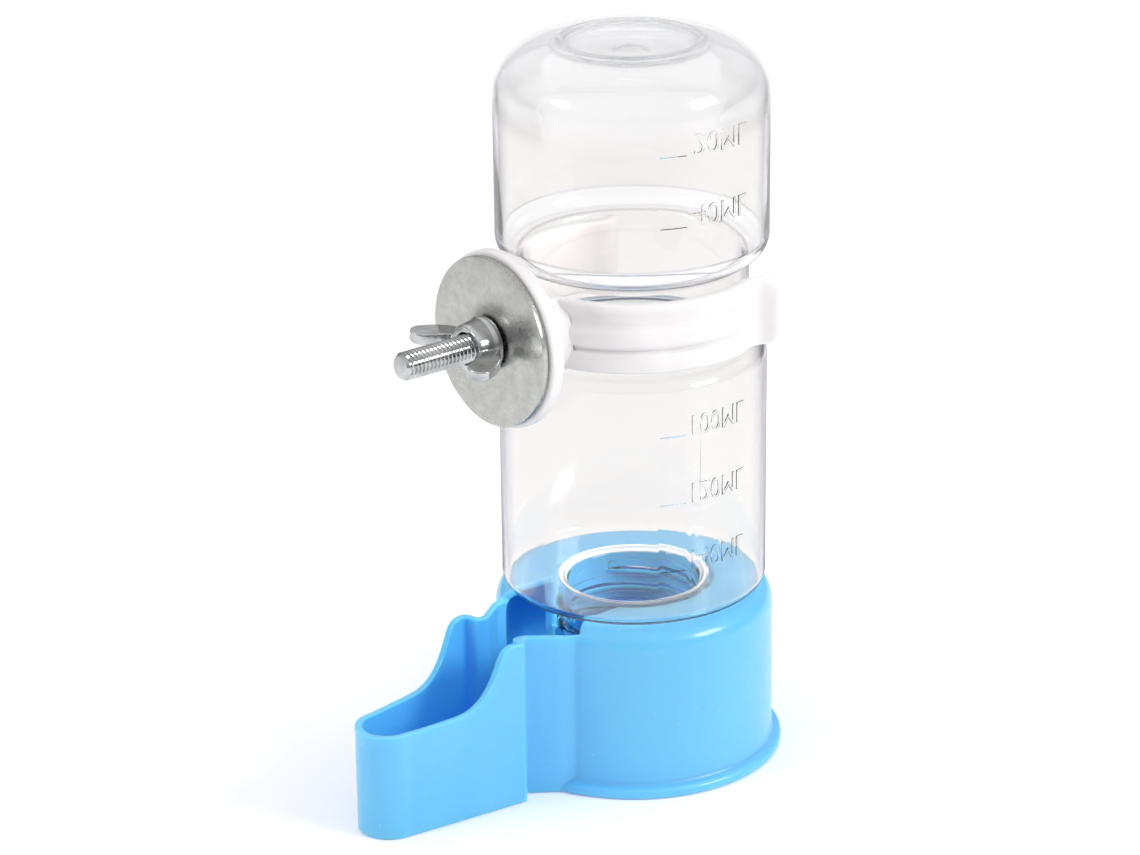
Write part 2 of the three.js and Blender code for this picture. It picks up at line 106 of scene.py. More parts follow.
# The step at the trough's root and the throat behind it: for each column the outer and the inner
# face's (half-width, distance). Behind the last column the throat flares at a fixed slope.
THROAT_PLAN = [
    ((8.43, 31.75), (7.15, 32.35)),
    ((8.22, 31.25), (7.05, 32.02)),
    ((7.75, 30.88), (6.7, 31.86)),
    ((7.0, 30.62), (5.5, 31.62)),
    ((6.3, 30.4), (4.9, 31.35)),
    ((6.05, 30.1), (4.72, 30.9)),
    ((6.0, 29.7), (4.68, 30.2)),
    ((6.1, 29.25), (4.7, 29.4)),
    ((6.45, 28.7), (4.9, 28.75)),
    ((7.2, 27.68), (5.6, 27.75)),
    ((8.3, 26.19), (6.8, 26.1)),
    ((9.1, 25.1), (7.9, 24.6)),
    ((9.4, 24.7), (8.25, 24.1)),
]
THROAT_SLOPE = 0.52
THROAT_WIDEST_OUTER = 10.7
THROAT_WIDEST_INNER = 9.6

# The bottle.
BODY_R = BOTTLE_HIGH.x
LOWER_R = BODY_R - 0.3
WAIST_R = 20.0
WAIST_LOW, WAIST_HIGH = 76.0, 96.0
UPPER_BEND = (4.0, 95.6, 70)  # corner radius, height and sweep
LOWER_BEND = (2.5, 73.9, 85)
BOTTLE_WALL = 0.8
CORNER_FILL = 0.12
TOP_Z = BOTTLE_HIGH.z
CROWN_R = 9.0
CROWN_TOP_Z = TOP_Z - 0.6
SHOULDER_Z = ROOF_Z + GAP
SHOULDER_R = 2.0
MOUTH_Z = BOTTLE_LOW.z
NECK_R = 12.5
NECK_ROOT_R = 1.0
NECK_BORE_R = 11.4
BORE_ROOT_R = 2.0

# The neck's thread. The collar's rib lies half a pitch under the neck's.
PITCH = 3.175
NECK_RIB_TOP_Z = 28.6
NECK_RIB_TOP_ANGLE = 162.0
NECK_RIB_TURNS = 2.5
COLLAR_RIB_TURNS = 2.0

# The volume marks: a tick and its text, raised from the wall and sunk into it to join it.
MARK_RAISED = 0.25
MARK_SUNK = 0.3
MARK_COUNT = 7
MARK_SPACING = 12.35
FIRST_MARK_Z = 115.5
ML_PER_MARK = 20
TEXT_SIZE = 5.3
TEXT_WIDTH = 11.4
TEXT_END_ANGLE = 13.5
TICK_ANGLE = -28.5
TICK_SWEEP = 11

# The clip. The band's section is (distance out from the bore, height).
CLAMP_Z = (WASHER_LOW.z + WASHER_HIGH.z) / 2
CLIP_BORE_R = 20.4
BAND_LOW, BAND_HIGH = 77.7, 89.8
BAND_HALF_ANGLE = 112.0
BAND_SECTION = [
    (0.0, 78.1), (0.0, 80.5), (0.0, 83.5), (0.0, 86.5), (0.0, 89.4),
    (0.35, 89.8), (1.65, 89.8), (2.1, 89.6), (2.28, 89.0), (2.2, 88.3), (1.95, 87.7),
    (1.85, 87.0), (1.87, 86.3), (2.1, 85.8), (2.55, 85.45), (2.88, 84.9), (2.98, 84.0),
    (2.88, 83.1), (2.55, 82.35), (2.0, 81.9), (1.75, 81.65), (1.85, 81.4), (2.45, 81.2),
    (2.72, 80.85), (2.75, 79.8), (2.75, 78.3), (2.5, 77.8), (2.0, 77.7), (0.35, 77.7),
]
LIP_T = 1.9
LIP_BEND_R = 5.3
LIP_SWEEP = 62.0
LIP_END = 2.1
LIP_CORNER = 2.2
LIP_SHARES = (0.09, 0.19, 0.3, 0.41, 0.52, 0.63, 0.73, 0.79, 0.84, 0.89, 0.93, 0.965, 0.987, 1.0)
PAD_FRONT = -CLIP_LOW.y
PAD_R = CLAMP_Z - CLIP_LOW.z
PAD_T = 3.0

# The clamp's hardware. Distances are measured from the bottle's axis towards the bolt's tip.
WASHER_R = (WASHER_HIGH.x - WASHER_LOW.x) / 2
BOLT_TIP = -BOLT_LOW.y
BOLT_HEAD = -BOLT_HIGH.y
HEAD_T = 3.5
HEAD_HALF = 4.0
M5_R = 2.45
M5_ROOT_R = 2.0
M5_PITCH = 0.8
NUT_FOOT = -NUT_HIGH.y
NUT_TURN = -8

# Where the clear wall's look changes, as (start of the change, end of the change). The two neck
# lines are (radius, half-width).
NECK_ZONE_Z = (36.5, 34.5)
NECK_ZONE_R = (22.5, 21.0)
NECK_LINES = ((12.05, 0.3), (12.9, 0.4))
NECK_LINES_FOOT_Z = (30.5, 31.2)
NECK_LINES_HEAD_Z = (34.5, 33.5)
# The corner band into the waist is painted lighter as a painted highlight, with painted dark lines at
# its ends.
PAINTED_CORNER_LOW, PAINTED_CORNER_HIGH = 92.1, 95.7
CORNER_EDGE = 0.4
CORNER_LINE_HALF = 0.25
# Below SIDES_Z the wall gets painted shade where it is seen edge on.
SIDES_Z = (124.0, 112.0)
# Over the crown the wall is painted pale and faint. This is painted glare.
CROWN_GLARE_Z = (115.0, 126.0)
CROWN_RING_R = (13.2, 14.5)

# The camera and the lamps, in degrees and metres.
VIEW_AZIMUTH = 51.0
VIEW_ELEVATION = 21.545
VIEW_ROLL = -0.663
VIEW_DISTANCE = 0.68269
VIEW_TARGET_Z = 0.05936
VIEW_ASIDE = -0.01098
LENS_MM = 123.72
LAMP_ELEVATION = 27
LAMP_DISTANCE = 0.9
LAMP_TARGET_Z = 0.07


# ---- shape tools ---------------------------------------------------------------------------


def on_circle(cx, cy, radius, degrees):
    """The point of a circle at an angle."""
    angle = math.radians(degrees)
    return cx + radius * math.cos(angle), cy + radius * math.sin(angle)


def arc(cx, cy, radius, start, end, steps):
    """Points on an arc, both ends included. Angles are in degrees."""
    return [on_circle(cx, cy, radius, start + (end - start) * i / steps) for i in range(steps + 1)]


def bezier(p0, p1, p2, p3, steps):
    """Points on a cubic curve, both ends included."""
    points = []
    for i in range(steps + 1):
        t = i / steps
        weights = ((1 - t) ** 3, 3 * t * (1 - t) ** 2, 3 * t * t * (1 - t), t**3)
        x = sum(w * p[0] for w, p in zip(weights, (p0, p1, p2, p3)))
        y = sum(w * p[1] for w, p in zip(weights, (p0, p1, p2, p3)))
        points.append((x, y))
    return points


def hexagon_corner(half_flats):
    """A hexagon's corner radius, from half its width across the flats."""
    return half_flats / math.cos(math.pi / 6)


def new_object(name, verts, faces):
    """A mesh in millimetres, with its faces turned outwards."""
    mesh = bpy.data.meshes.new(name)
    mesh.from_pydata([tuple(v) for v in verts], [], faces)
    bm = bmesh.new()
    bm.from_mesh(mesh)
    bmesh.ops.remove_doubles(bm, verts=bm.verts, dist=MERGE_DISTANCE)
    bmesh.ops.dissolve_degenerate(bm, dist=MERGE_DISTANCE, edges=bm.edges)
    bmesh.ops.recalc_face_normals(bm, faces=bm.faces)
    bm.to_mesh(mesh)
    bm.free()
    obj = bpy.data.objects.new(name, mesh)
    bpy.context.scene.collection.objects.link(obj)
    return obj


def settle(obj):
    """The modifiers' result becomes the object's own mesh."""
    bpy.context.view_layer.update()
    shaped = obj.evaluated_get(bpy.context.evaluated_depsgraph_get())
    mesh = bpy.data.meshes.new_from_object(shaped)
    mesh.name = obj.name
    obj.modifiers.clear()
    obj.data = mesh
    return obj


def subdivide(obj, levels):
    """Rounds a coarse mesh off."""
    modifier = obj.modifiers.new("smooth", "SUBSURF")
    modifier.levels = levels
    modifier.render_levels = levels
    return settle(obj)


def combine(obj, other, operation):
    """Joins or cuts with another closed mesh, which is used up."""
    modifier = obj.modifiers.new("combine", "BOOLEAN")
    modifier.operation = operation
    modifier.solver = "MANIFOLD"
    modifier.object = other
    settle(obj)
    bpy.data.objects.remove(other)
    return obj


def turned(name, profile, segments):
    """A body of revolution about Z. The profile's ends lie on the axis, or it closes on itself."""
    on_axis = 1e-6
    closed = profile[0][0] > on_axis
    rings = []
    verts = []
    for r, z in profile:
        if r < on_axis:
            rings.append([len(verts)] * segments)
            verts.append((0, 0, z))
            continue
        rings.append(list(range(len(verts), len(verts) + segments)))
        for k in range(segments):
            angle = 2 * math.pi * k / segments
            verts.append((r * math.cos(angle), r * math.sin(angle), z))
    pairs = list(zip(rings, rings[1:]))
    if closed:
        pairs.append((rings[-1], rings[0]))
    faces = []
    for low, high in pairs:
        for k in range(segments):
            n = (k + 1) % segments
            corners = (low[k], low[n], high[n], high[k])
            faces.append(tuple(dict.fromkeys(corners)))
    return new_object(name, verts, [f for f in faces if len(f) > 2])


def swept(name, sections):
    """A bar through rings of points, each ring the same length, with a cap at both ends."""
    count = len(sections[0])
    verts = [p for ring in sections for p in ring]
    faces = []
    last = (len(sections) - 1) * count
    for a in range(0, last, count):
        b = a + count
        for k in range(count):
            n = (k + 1) % count
            faces.append((a + k, a + n, b + n, b + k))
    faces.append(tuple(range(count)))
    faces.append(tuple(range(last, last + count)))
    return new_object(name, verts, faces)


def prism(name, outline, low, high):
    """A plan outline stood up between two heights."""
    rings = [[(x, y, z) for x, y in outline] for z in (low, high)]
    return swept(name, rings)


def thread_rib(root, crest, root_half, crest_half, turns, top_z):
    """A trapezoid rib wound up on a right-hand helix to the neck rib's top angle, its two ends
    tapering into the wall."""
    per_turn = 48
    end_height = 0.35
    rings = []
    steps = int(turns * per_turn)
    start = NECK_RIB_TOP_ANGLE - 360 * turns
    low_z = top_z - PITCH * turns
    for i in range(steps + 1):
        share = i / steps
        run_out = min(1.0, share * steps / 2.0, (1 - share) * steps / 2.0)
        top = root + (crest - root) * (end_height + (1 - end_height) * run_out)
        angle = math.radians(start) + 2 * math.pi * turns * share
        z = low_z + PITCH * turns * share
        section = [(root, -root_half), (top, -crest_half), (top, crest_half), (root, root_half)]
        rings.append([(r * math.cos(angle), r * math.sin(angle), z + dz) for r, dz in section])
    return swept("rib", rings)


def along_bolt(obj):
    """Turns a body drawn about +Z into one about the bolt, which points along -Y."""
    obj.data.transform(Matrix.Translation((0, 0, CLAMP_Z)) @ Matrix.Rotation(math.pi / 2, 4, "X"))
    return obj


def place(obj, body, slot, material, *nodes):
    """Brings a finished body to metres, gives it its material and seats it on its CAD body, in
    place of the CAD nodes that it stands for."""
    obj.data.transform(Matrix.Scale(MM, 4))
    obj.data.materials.clear()
    obj.data.materials.append(material)
    obj.data.shade_smooth()
    obj.data.set_sharp_from_angle(angle=math.radians(SMOOTH_ANGLE))
    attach(obj, body)
    if nodes:
        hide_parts(*nodes)
    return obj


# ---- material tools --------------------------------------------------------------------------


def nodes_of(name):
    """A new material, its node tree and its shader."""
    material = bpy.data.materials.new(name)
    material.use_nodes = True
    tree = material.node_tree
    return material, tree, tree.nodes["Principled BSDF"]


def noise(tree, scale, detail, stretch=(1, 1, 1), roughness=0.5):
    """A noise pattern in the piece's own coordinates, in metres."""
    coords = tree.nodes.new("ShaderNodeTexCoord")
    mapping = tree.nodes.new("ShaderNodeMapping")
    mapping.inputs["Scale"].default_value = stretch
    pattern = tree.nodes.new("ShaderNodeTexNoise")
    pattern.inputs["Scale"].default_value = scale
    pattern.inputs["Detail"].default_value = detail
    pattern.inputs["Roughness"].default_value = roughness
    tree.links.new(coords.outputs["Object"], mapping.inputs["Vector"])
    tree.links.new(mapping.outputs["Vector"], pattern.inputs["Vector"])
    return pattern.outputs["Fac"]


def ramp(tree, value, low, high, stops=(0.35, 0.65)):
    """Maps a pattern to a range of colours or numbers."""
    node = tree.nodes.new("ShaderNodeValToRGB")
    node.color_ramp.elements[0].position = stops[0]
    node.color_ramp.elements[1].position = stops[1]
    for element, colour in zip(node.color_ramp.elements, (low, high)):
        if isinstance(colour, (int, float)):
            colour = (colour,) * 3
        element.color = (*colour, 1)
    tree.links.new(value, node.inputs["Fac"])
    return node.outputs["Color"]


def mixed(tree, share, first, second):
    """The first colour, going over to a plain second one."""
    node = tree.nodes.new("ShaderNodeMix")
    node.data_type = "RGBA"
    tree.links.new(share, node.inputs["Factor"])
    tree.links.new(first, node.inputs["A"])
    node.inputs["B"].default_value = (*second, 1)
    return node.outputs["Result"]


def bump(tree, height, distance, strength, after=None):
    """A surface relief from a pattern, on top of an earlier one. The distance is in metres."""
    node = tree.nodes.new("ShaderNodeBump")
    node.inputs["Strength"].default_value = strength
    node.inputs["Distance"].default_value = distance
    tree.links.new(height, node.inputs["Height"])
    if after is not None:
        tree.links.new(after, node.inputs["Normal"])
    return node.outputs["Normal"]


def maths(tree, operation, first, second):
    """An operation on two values, each a socket or a float."""
    node = tree.nodes.new("ShaderNodeMath")
    node.operation = operation
    for value, socket in zip((first, second), node.inputs):
        if isinstance(value, float):
            socket.default_value = value
        else:
            tree.links.new(value, socket)
    return node.outputs["Value"]


def product(tree, first, second):
    return maths(tree, "MULTIPLY", first, second)


def largest(tree, first, second):
    return maths(tree, "MAXIMUM", first, second)


def radius_and_height(tree):
    """How far a point of the piece is from the bottle's axis, and how high, in metres."""
    coords = tree.nodes.new("ShaderNodeTexCoord")
    split = tree.nodes.new("ShaderNodeSeparateXYZ")
    tree.links.new(coords.outputs["Object"], split.inputs["Vector"])
    flat = tree.nodes.new("ShaderNodeCombineXYZ")
    tree.links.new(split.outputs["X"], flat.inputs["X"])
    tree.links.new(split.outputs["Y"], flat.inputs["Y"])
    length = tree.nodes.new("ShaderNodeVectorMath")
    length.operation = "LENGTH"
    tree.links.new(flat.outputs["Vector"], length.inputs[0])
    return length.outputs["Value"], split.outputs["Z"]


def fade(tree, value, start, end):
    """0 before the start and 1 after the end of a span of a radius or a height. The span is in
    millimetres and may run downwards."""
    node = tree.nodes.new("ShaderNodeMapRange")
    node.interpolation_type = "SMOOTHSTEP"
    node.inputs["From Min"].default_value = start * MM
    node.inputs["From Max"].default_value = end * MM
    tree.links.new(value, node.inputs["Value"])
    return node.outputs["Result"]


def thin_line(tree, value, middle, half):
    """1 where a radius or a height is at a given value in millimetres, and 0 away from it."""
    away = maths(tree, "ABSOLUTE", maths(tree, "SUBTRACT", value, middle * MM), 0.0)
    return fade(tree, away, half, half * 0.4)


def blended(tree, share, first, second):
    """The first shader, going over to the second one."""
    node = tree.nodes.new("ShaderNodeMixShader")
    tree.links.new(share, node.inputs["Fac"])
    tree.links.new(first, node.inputs[1])
    tree.links.new(second, node.inputs[2])
    return node.outputs["Shader"]


def see_through(tree, colour):
    """A shader that lets light straight through, tinted."""
    node = tree.nodes.new("ShaderNodeBsdfTransparent")
    node.inputs["Color"].default_value = (*colour, 1)
    return node.outputs["BSDF"]


# ---- materials -------------------------------------------------------------------------------


def blue_plastic():
    """Injection-moulded polypropylene: glossy, and thin enough for light to glow through."""
    material, tree, shader = nodes_of("blue_plastic")
    shader.inputs["IOR"].default_value = 1.49
    shader.inputs["Subsurface Weight"].default_value = 0.85
    shader.inputs["Subsurface Radius"].default_value = (0.35, 1.0, 1.6)
    shader.inputs["Subsurface Scale"].default_value = 0.0028
    shader.inputs["Coat Weight"].default_value = 0.6
    shader.inputs["Coat Roughness"].default_value = 0.13
    cloud = noise(tree, 60, 3, (1, 1, 0.3))
    colour = ramp(tree, cloud, (0.105, 0.485, 0.945), (0.135, 0.52, 0.965))
    flecks = ramp(tree, noise(tree, 900, 2), 0.0, 1.0, (0.74, 0.78))
    tree.links.new(mixed(tree, flecks, colour, (0.3, 0.62, 0.97)), shader.inputs["Base Color"])
    tree.links.new(ramp(tree, noise(tree, 300, 4), 0.36, 0.46), shader.inputs["Roughness"])
    flow = bump(tree, noise(tree, 40, 1, (1, 1, 0.25)), 0.0002, 0.12)
    tree.links.new(flow, shader.inputs["Normal"])
    return material


def white_plastic():
    """Moulded white plastic, slightly cloudy, with a fine grain."""
    material, tree, shader = nodes_of("white_plastic")
    shader.inputs["IOR"].default_value = 1.49
    shader.inputs["Subsurface Weight"].default_value = 0.45
    shader.inputs["Subsurface Radius"].default_value = (1.0, 0.9, 0.88)
    shader.inputs["Subsurface Scale"].default_value = 0.0016
    cloud = noise(tree, 110, 3)
    colour = ramp(tree, cloud, (0.755, 0.738, 0.742), (0.81, 0.793, 0.797))
    tree.links.new(colour, shader.inputs["Base Color"])
    tree.links.new(ramp(tree, noise(tree, 600, 5), 0.3, 0.44), shader.inputs["Roughness"])
    flow = bump(tree, noise(tree, 60, 2), 0.0002, 0.15)
    tree.links.new(bump(tree, noise(tree, 2200, 3), 0.000004, 0.3, flow), shader.inputs["Normal"])
    return material


def neck_lines(tree, radius, height):
    """1 on two thin rings where the thick neck meets the shoulder, 0 elsewhere."""
    inner, outer = (thin_line(tree, radius, *line) for line in NECK_LINES)
    above = fade(tree, height, *NECK_LINES_FOOT_Z)
    below = fade(tree, height, *NECK_LINES_HEAD_Z)
    return product(tree, largest(tree, inner, outer), product(tree, above, below))


def corner_highlight_and_lines(tree, height):
    """The upper body's corner into the waist, where the wall is thick. The first mask is 1 over the
    whole corner, which is painted lighter as a painted highlight.
    The second mask is 1 on the line at each of its ends, which is painted darker as painted shade."""
    above = fade(tree, height, PAINTED_CORNER_LOW - CORNER_EDGE, PAINTED_CORNER_LOW)
    below = fade(tree, height, PAINTED_CORNER_HIGH + CORNER_EDGE, PAINTED_CORNER_HIGH)
    low_end = thin_line(tree, height, PAINTED_CORNER_LOW, CORNER_LINE_HALF)
    high_end = thin_line(tree, height, PAINTED_CORNER_HIGH, CORNER_LINE_HALF)
    return product(tree, above, below), largest(tree, low_end, high_end)


def milk(tree):
    """Cloudy plastic, for the thick root of the neck."""
    node = tree.nodes.new("ShaderNodeBsdfPrincipled")
    node.inputs["Base Color"].default_value = (0.95, 0.95, 0.96, 1)
    node.inputs["Roughness"].default_value = 0.2
    node.inputs["Subsurface Weight"].default_value = 0.5
    node.inputs["Subsurface Scale"].default_value = 0.001
    return node.outputs["BSDF"]


def clear_plastic():
    """Clear bottle wall: grey where it is seen edge on. This is painted shade, standing in for the
    darker surroundings seen at its edges.
    It is milky at the root of the neck, and painted pale and faint over the crown as painted glare.
    Over the corner into the waist it is painted light as a painted highlight, with painted dark lines
    at the corner's ends. Shadow rays pass through it, so that it throws no black shadow."""
    material, tree, shader = nodes_of("clear_plastic")
    shader.inputs["IOR"].default_value = 1.46
    shader.inputs["Transmission Weight"].default_value = 1.0
    edge = tree.nodes.new("ShaderNodeLayerWeight")
    edge.inputs["Blend"].default_value = 0.5
    facing = edge.outputs["Facing"]
    radius, height = radius_and_height(tree)
    neck = product(tree, fade(tree, height, *NECK_ZONE_Z), fade(tree, radius, *NECK_ZONE_R))
    crown = fade(tree, height, *CROWN_GLARE_Z)
    # The first mask takes the painted highlight over the corner band, and the second takes the
    # painted dark lines at its ends.
    corner, painted_corner_lines = corner_highlight_and_lines(tree, height)

    # Base colour: a warm grey, painted darker and lilac where the wall is seen edge on. This is
    # painted shade.
    tint_and_edge_shade = ramp(tree, facing, (0.91, 0.9, 0.892), (0.5, 0.48, 0.56), (0.6, 0.84))
    # Over the neck and the corner band, a near-white colour replaces the edge shade. Over the corner
    # band this is a painted highlight.
    plain = mixed(tree, largest(tree, neck, corner), tint_and_edge_shade, (0.985, 0.985, 0.99))
    # Over the crown the colour goes near white. This is painted glare.
    tree.links.new(mixed(tree, crown, plain, (0.97, 0.965, 0.975)), shader.inputs["Base Color"])
    tree.links.new(ramp(tree, noise(tree, 500, 4), 0.015, 0.05), shader.inputs["Roughness"])
    ripples = bump(tree, noise(tree, 70, 2, (1, 1, 0.45)), 0.0005, 0.3)
    tree.links.new(ripples, shader.inputs["Normal"])

    haze = product(tree, neck_lines(tree, radius, height), 0.8)
    wall = blended(tree, haze, shader.outputs["BSDF"], milk(tree))
    sides = product(tree, maths(tree, "SUBTRACT", 1.0, neck), fade(tree, height, *SIDES_Z))
    # Painted shade: thin dark lines where the wall is seen edge on, and weaker ones at the corner
    # band's ends.
    painted_edge_lines = ramp(tree, facing, 0.0, 0.9, (0.79, 0.93))
    painted_edge_and_corner_lines = product(tree, sides, largest(tree, painted_edge_lines, product(tree, painted_corner_lines, 0.3)))
    wall = blended(tree, painted_edge_and_corner_lines, wall, see_through(tree, (0.6, 0.58, 0.65)))
    # Over the crown, most of all outside the neck's ring, the wall is mixed with a clear shader that
    # makes it faint. This is painted glare.
    faint = see_through(tree, (0.99, 0.99, 0.995))
    outside_ring = product(tree, crown, fade(tree, radius, *CROWN_RING_R))
    wall = blended(tree, product(tree, outside_ring, 0.75), wall, faint)
    wall = blended(tree, product(tree, crown, 0.35), wall, faint)
    path = tree.nodes.new("ShaderNodeLightPath")
    shadowed = see_through(tree, (0.99, 0.99, 0.99))
    wall = blended(tree, path.outputs["Is Shadow Ray"], wall, shadowed)
    tree.links.new(wall, tree.nodes["Material Output"].inputs["Surface"])
    return material


def zinc_steel():
    """Zinc-plated sheet: dull and mottled, with fine scratches and pits."""
    material, tree, shader = nodes_of("zinc_steel")
    shader.inputs["Metallic"].default_value = 1.0
    mottle = noise(tree, 420, 6, roughness=0.65)
    colour = ramp(tree, mottle, (0.41, 0.415, 0.4), (0.53, 0.535, 0.51), (0.3, 0.7))
    tree.links.new(colour, shader.inputs["Base Color"])
    tree.links.new(ramp(tree, noise(tree, 900, 5), 0.22, 0.32), shader.inputs["Roughness"])
    scratches = bump(tree, noise(tree, 300, 5, (1, 1, 12)), 0.00001, 0.3)
    pits = bump(tree, noise(tree, 1500, 4), 0.00001, 0.3, scratches)
    tree.links.new(pits, shader.inputs["Normal"])
    return material


def bright_steel(name, grain):
    """Nickel-plated steel. The grain is the scale of its uneven skin."""
    material, tree, shader = nodes_of(name)
    shader.inputs["Metallic"].default_value = 1.0
    colour = ramp(tree, noise(tree, 350, 5), (0.38, 0.385, 0.39), (0.62, 0.625, 0.63), (0.3, 0.7))
    tree.links.new(colour, shader.inputs["Base Color"])
    tree.links.new(ramp(tree, noise(tree, 800, 4), 0.08, 0.2), shader.inputs["Roughness"])
    skin = bump(tree, noise(tree, grain, 4), 0.00002, 0.3)
    tree.links.new(skin, shader.inputs["Normal"])
    return material


BLUE = blue_plastic()
WHITE = white_plastic()
CLEAR = clear_plastic()
ZINC = zinc_steel()
THREADED = bright_steel("nickel_thread", 1500)
CAST = bright_steel("nickel_cast", 900)


# ---- drinker base ----------------------------------------------------------------------------


def housing_rows():
    """Rows up the round chamber's wall and over its roof to the hole: for each the outer and
    the inner face's (radius, height), and how many of them lie below the trough's walls."""
    dome = (BASE_R - DOME_R, ROOF_Z - DOME_R)

    def dome_row(angle):
        return on_circle(*dome, DOME_R, angle), on_circle(*dome, DOME_R - WALL, angle)

    flange = [
        (FLANGE_R - 0.15, 0.0),
        (FLANGE_R, 0.35),
        (FLANGE_R, 1.1),
        (FLANGE_R - 0.25, 1.65),
        (FLANGE_R - 0.9, 1.95),
        (BASE_R + 0.35, 2.1),
        (BASE_R + 0.08, 2.5),
        (BASE_R + 0.03, 3.4),
    ]
    rows = [((r, z), (BASE_R - WALL, z)) for r, z in flange]
    rows += [((BASE_R, z), (BASE_R - WALL, z)) for z in (8, 13, 18, 22.5, dome[1])]
    spout = math.degrees(math.asin((SPOUT_Z - dome[1]) / DOME_R))
    rows += [dome_row(spout * share) for share in (0.33, 0.66, 0.86, 1.0)]
    below = len(rows)
    rows += [dome_row(spout + (90 - spout) * share) for share in (0.14, 0.36, 0.6, 0.82, 1.0)]
    rows += [((r, ROOF_Z), (r, ROOF_Z - ROOF_T)) for r in (18.6, 16.8, 15.3, 14.55, HOLE_R)]
    return rows, below


def throat_half(distance, inner):
    """Half-width of the throat's last stretch of wall, which flares into the chamber."""
    half, corner = THROAT_PLAN[-1][1 if inner else 0]
    widest = THROAT_WIDEST_INNER if inner else THROAT_WIDEST_OUTER
    return min(widest, half + (corner - distance) * THROAT_SLOPE)


def throat_meets(radius, inner):
    """Where the throat's wall meets a circle about the bottle's axis, by halving the span that
    holds the place."""
    near, far = 10.0, 26.0
    for _ in range(40):
        middle = (near + far) / 2
        if math.hypot(throat_half(middle, inner), middle) < radius:
            near = middle
        else:
            far = middle
    return throat_half(near, inner), -near


def trough_side():
    """Columns of the trough's right-hand wall from the tip to the throat: the outer point, the
    inner point and the rim's height."""
    taper = (TROUGH_ROOT_HALF - TIP_R) / (TIP_CENTRE - TROUGH_ROOT)
    lean = math.degrees(math.atan(taper))
    columns = []
    tip_steps = 6
    for i in range(tip_steps + 1):
        angle = math.radians(-90 + (90 + lean) * i / tip_steps)
        nx, ny = math.cos(angle), math.sin(angle)
        outer = (TIP_R * nx, -TIP_CENTRE + TIP_R * ny)
        columns.append((outer, (outer[0] - WALL * nx, outer[1] - WALL * ny), RIM_Z))
    rim = [(52, RIM_Z), (49, RIM_Z + 0.1), (46, RIM_Z + 0.25)]
    rim += bezier((43.5, RIM_Z + 0.4), (39.5, RIM_Z + 1.4), (38, RIM_Z + 4.3), (36.3, RIM_Z + 8.4), 7)
    rim += bezier((36.3, RIM_Z + 8.4), (35.7, RIM_Z + 10.2), (35, 30.25), (33.4, 30.3), 4)[1:]
    rim += [(32.4, 30.25)]
    for distance, height in rim:
        half = TROUGH_ROOT_HALF - (distance - TROUGH_ROOT) * taper
        inner_distance = max(distance, STEP_INNER + (distance - TROUGH_ROOT) * STEP_INNER_EASE)
        columns.append(((half, -distance), (half - WALL, -inner_distance), height))
    last = len(THROAT_PLAN) - 1
    for i, (outer, inner) in enumerate(THROAT_PLAN):
        height = STEP_Z + (SPOUT_Z - STEP_Z) * i / last
        columns.append(((outer[0], -outer[1]), (inner[0], -inner[1]), height))
    return columns


def round_columns(count=46):
    """Shares of the way round the chamber from one throat wall to the other, closer together
    at both ends."""
    ends = [0.0, 0.006, 0.016, 0.034]
    middle = [0.06 + 0.88 * i / (count - 1) for i in range(count)]
    return ends + middle + [1 - share for share in reversed(ends)]


def housing_face(rows, below, inner):
    """One face of the housing as columns of points running round the base from the trough's
    tip, the chamber's columns going on over the roof. Also the number of the chamber's first
    column and how many it has."""
    ease_rows = 4
    pick = 1 if inner else 0
    top = rows[below - 1][0][1]
    heights = [row[0][1] / top for row in rows[:below]]
    right = []
    for *faces, rim in trough_side():
        x, y = faces[pick]
        right.append([(x, y, share * rim) for share in heights])
    # Three columns lean from the plain throat wall to the chamber's profile.
    throat_start = right[-1]
    meets = []
    for row in rows[:below]:
        radius, z = row[pick]
        meets.append((*throat_meets(radius, inner), z))
    for share in (0.3, 0.6, 0.85):
        column = []
        for (x0, y0, z0), (x1, y1, z1) in zip(throat_start, meets):
            column.append((x0 + (x1 - x0) * share, y0 + (y1 - y0) * share, z0 + (z1 - z0) * share))
        right.append(column)
    chamber = []
    shares = round_columns()
    hole_start = math.asin(CHANNEL_HALF / HOLE_R)
    for share in shares:
        column = []
        for k, row in enumerate(rows):
            radius, z = row[pick]
            if k < below:
                x, y = meets[k][0], meets[k][1]
                start = math.atan2(x, -y)
            else:
                flare = min(1.0, (k - below + 1) / ease_rows)
                start_x = meets[-1][0] + (CHANNEL_HALF - meets[-1][0]) * flare
                start = math.asin(min(1.0, start_x / radius)) if radius > HOLE_R else hole_start
            angle = -math.pi / 2 + start + (2 * math.pi - 2 * start) * share
            column.append((radius * math.cos(angle), radius * math.sin(angle), z))
        chamber.append(column)
    left = [[(-x, y, z) for x, y, z in column] for column in reversed(right[1:])]
    return right + chamber + left, len(right), len(chamber)


